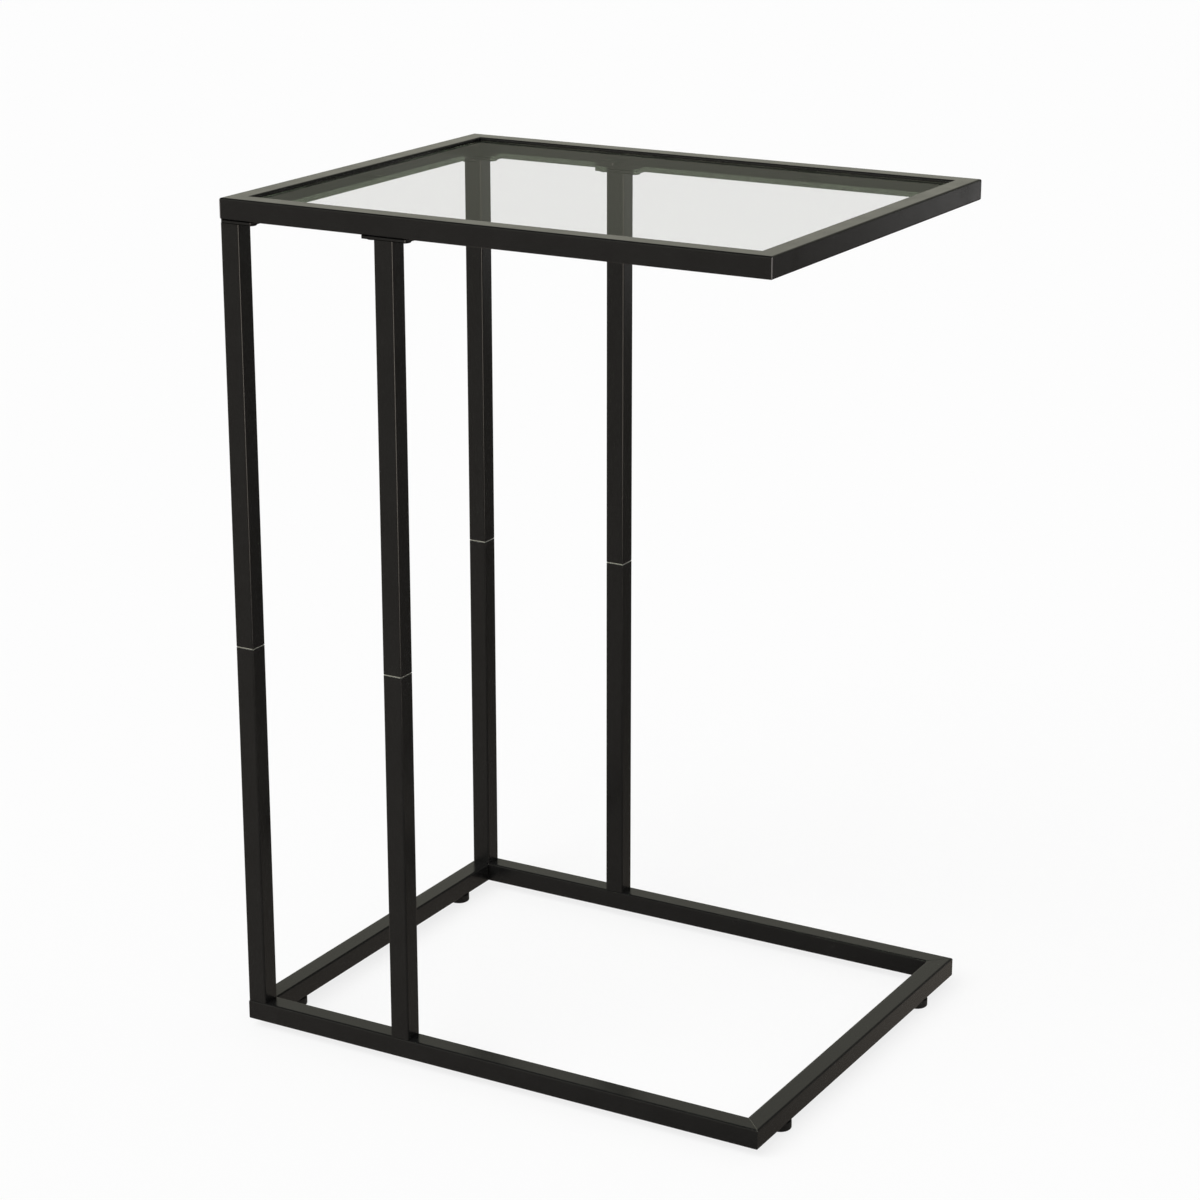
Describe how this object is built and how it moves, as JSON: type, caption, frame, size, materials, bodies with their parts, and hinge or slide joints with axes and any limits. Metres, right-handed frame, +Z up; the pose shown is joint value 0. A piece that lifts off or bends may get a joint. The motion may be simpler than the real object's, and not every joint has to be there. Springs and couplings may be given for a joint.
{
  "type": "c shaped side table",
  "caption": "Tall narrow C-shaped side table: black square-tube base and top frames joined by legs at one end only, with a clear glass top and screw-in feet.",
  "frame": {"origin": "on the floor, under the middle of the table", "axes": "+X from the closed end with the legs to the open end, +Y from front to back, +Z up"},
  "size_m": [0.4514, 0.35, 0.66],
  "materials": {
    "black_powder_coat": "satin powder coat",
    "clear_glass": "polished, ground edges",
    "clear_silicone": "clear, soft",
    "black_nylon": "moulded, satin",
    "zinc_steel": "bright zinc plate"
  },
  "bodies": {
    "frame": {"base_rail_back": "black_powder_coat", "base_rail_closed_end": "black_powder_coat", "base_rail_front": "black_powder_coat", "base_rail_open_end": "black_powder_coat", "foot_nuts": "zinc_steel", "glass_bumper_back_closed_end": "clear_silicone", "glass_bumper_back_open_end": "clear_silicone", "glass_bumper_closed_end": "clear_silicone", "glass_bumper_front_closed_end": "clear_silicone", "glass_bumper_front_open_end": "clear_silicone", "glass_bumper_open_end": "clear_silicone", "glass_tab_back_closed_end": "black_powder_coat", "glass_tab_back_open_end": "black_powder_coat", "glass_tab_closed_end": "black_powder_coat", "glass_tab_front_closed_end": "black_powder_coat", "glass_tab_front_open_end": "black_powder_coat", "glass_tab_open_end": "black_powder_coat", "leg_bolts": "zinc_steel", "leg_joint_studs": "zinc_steel", "leg_plate_back_corner": "black_powder_coat", "leg_plate_back_inner": "black_powder_coat", "leg_plate_front_corner": "black_powder_coat", "leg_plate_front_inner": "black_powder_coat", "lower_leg_back_corner": "black_powder_coat", "lower_leg_back_inner": "black_powder_coat", "lower_leg_foot_plugs": "zinc_steel", "lower_leg_front_corner": "black_powder_coat", "lower_leg_front_inner": "black_powder_coat", "lower_leg_top_plugs": "zinc_steel", "plate_nuts": "zinc_steel", "plate_screws": "zinc_steel", "top_rail_back": "black_powder_coat", "top_rail_closed_end": "black_powder_coat", "top_rail_front": "black_powder_coat", "top_rail_open_end": "black_powder_coat", "upper_leg_back_corner": "black_powder_coat", "upper_leg_back_inner": "black_powder_coat", "upper_leg_front_corner": "black_powder_coat", "upper_leg_front_inner": "black_powder_coat", "upper_leg_plugs": "zinc_steel"},
    "glass": {"glass_top": "clear_glass"},
    "foot_pad_front_closed_end": {"foot_pad_front_closed_end": "black_nylon"},
    "foot_screw_front_closed_end": {"foot_stud_front_closed_end": "zinc_steel"},
    "foot_pad_front_open_end": {"foot_pad_front_open_end": "black_nylon"},
    "foot_screw_front_open_end": {"foot_stud_front_open_end": "zinc_steel"},
    "foot_pad_back_closed_end": {"foot_pad_back_closed_end": "black_nylon"},
    "foot_screw_back_closed_end": {"foot_stud_back_closed_end": "zinc_steel"},
    "foot_pad_back_open_end": {"foot_pad_back_open_end": "black_nylon"},
    "foot_screw_back_open_end": {"foot_stud_back_open_end": "zinc_steel"}
  },
  "joints": [
    {"name": "glass_lift", "type": "slide", "parent": "frame", "child": "glass", "axis": [0, 0, 1], "range_m": [0, 0.05]},
    {"name": "foot_travel_front_closed_end", "type": "slide", "parent": "frame", "child": "foot_pad_front_closed_end", "axis": [0, 0, -1], "range_m": [0, 0.006]},
    {"name": "foot_turn_front_closed_end", "type": "hinge", "parent": "foot_pad_front_closed_end", "child": "foot_screw_front_closed_end", "pos_m": [-0.217, -0.1225, 0.0065], "axis": [0, 0, -1], "range_deg": [0, 2160]},
    {"name": "foot_travel_front_open_end", "type": "slide", "parent": "frame", "child": "foot_pad_front_open_end", "axis": [0, 0, -1], "range_m": [0, 0.006]},
    {"name": "foot_turn_front_open_end", "type": "hinge", "parent": "foot_pad_front_open_end", "child": "foot_screw_front_open_end", "pos_m": [0.217, -0.1225, 0.0065], "axis": [0, 0, -1], "range_deg": [0, 2160]},
    {"name": "foot_travel_back_closed_end", "type": "slide", "parent": "frame", "child": "foot_pad_back_closed_end", "axis": [0, 0, -1], "range_m": [0, 0.006]},
    {"name": "foot_turn_back_closed_end", "type": "hinge", "parent": "foot_pad_back_closed_end", "child": "foot_screw_back_closed_end", "pos_m": [-0.217, 0.1225, 0.0065], "axis": [0, 0, -1], "range_deg": [0, 2160]},
    {"name": "foot_travel_back_open_end", "type": "slide", "parent": "frame", "child": "foot_pad_back_open_end", "axis": [0, 0, -1], "range_m": [0, 0.006]},
    {"name": "foot_turn_back_open_end", "type": "hinge", "parent": "foot_pad_back_open_end", "child": "foot_screw_back_open_end", "pos_m": [0.217, 0.1225, 0.0065], "axis": [0, 0, -1], "range_deg": [0, 2160]}
  ],
  "couplings": [
    {"joint": "foot_travel_front_closed_end", "follows": "foot_turn_front_closed_end", "m_per_rad": 0.00015915},
    {"joint": "foot_travel_front_open_end", "follows": "foot_turn_front_open_end", "m_per_rad": 0.00015915},
    {"joint": "foot_travel_back_closed_end", "follows": "foot_turn_back_closed_end", "m_per_rad": 0.00015915},
    {"joint": "foot_travel_back_open_end", "follows": "foot_turn_back_open_end", "m_per_rad": 0.00015915}
  ]
}
